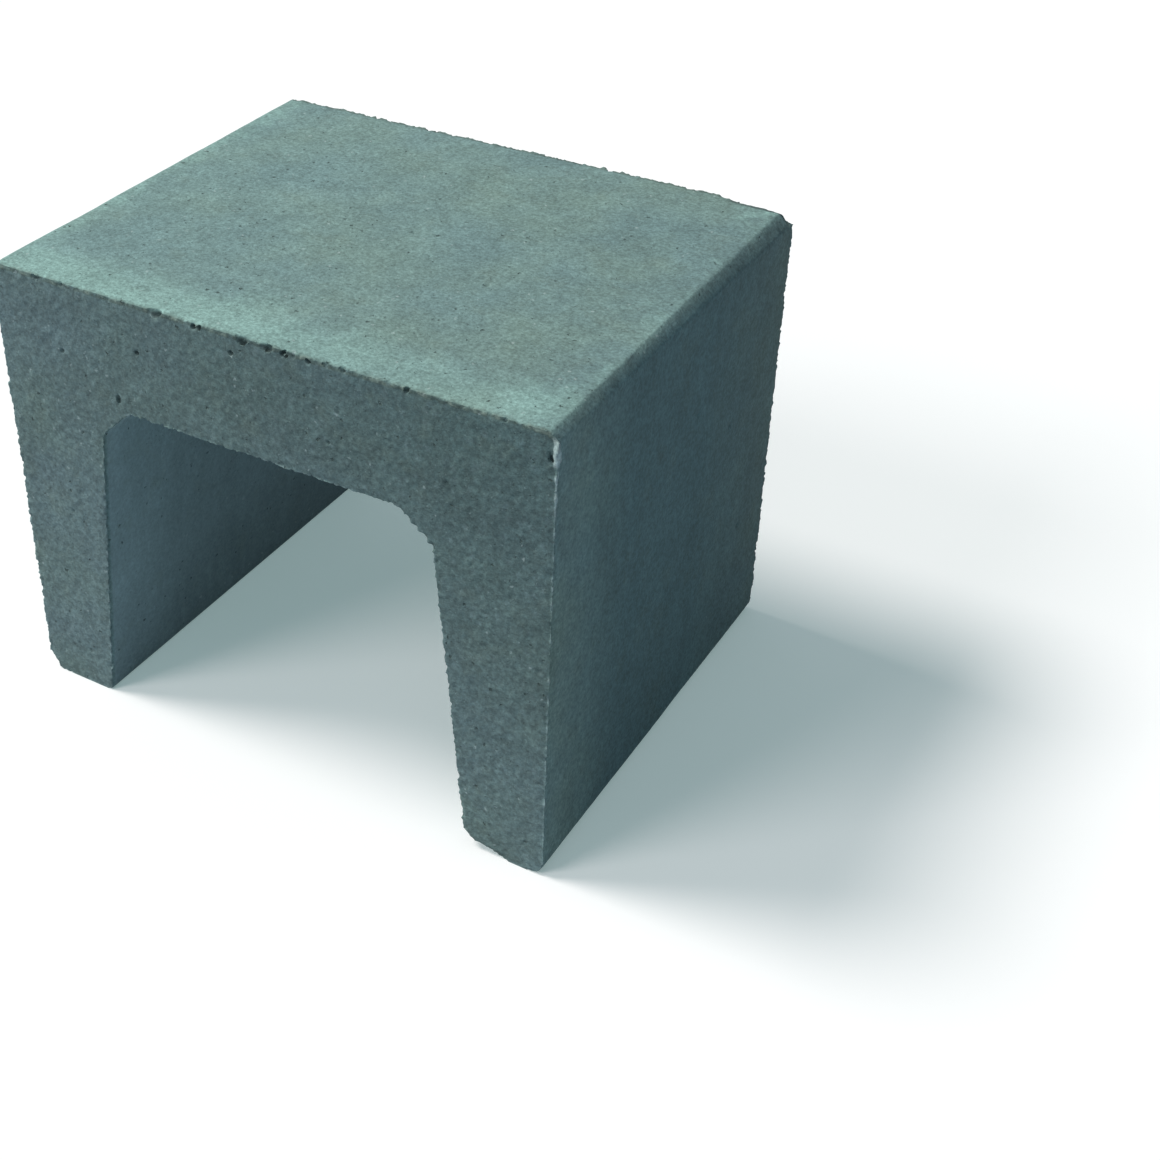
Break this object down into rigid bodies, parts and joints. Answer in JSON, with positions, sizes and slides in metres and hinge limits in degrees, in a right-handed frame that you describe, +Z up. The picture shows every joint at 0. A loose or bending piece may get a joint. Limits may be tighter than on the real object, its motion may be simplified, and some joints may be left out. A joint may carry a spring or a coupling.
{
  "type": "concrete u-block",
  "caption": "Channel-shaped concrete element cast in one piece: a flat top slab on two legs, open at both ends, for kerbs, steps, seats, edging or duct covers.",
  "frame": {"origin": "on the ground under the middle of the block, centred between the two legs and the two ends", "axes": "+X across the block from leg to leg, +Y along the channel from the struck end to the pallet end, +Z up out of the top face"},
  "size_m": [0.5, 0.4, 0.4],
  "materials": {
    "concrete": "bare vibrated concrete"
  },
  "bodies": {
    "root": {"u_block": "concrete"}
  },
  "joints": []
}
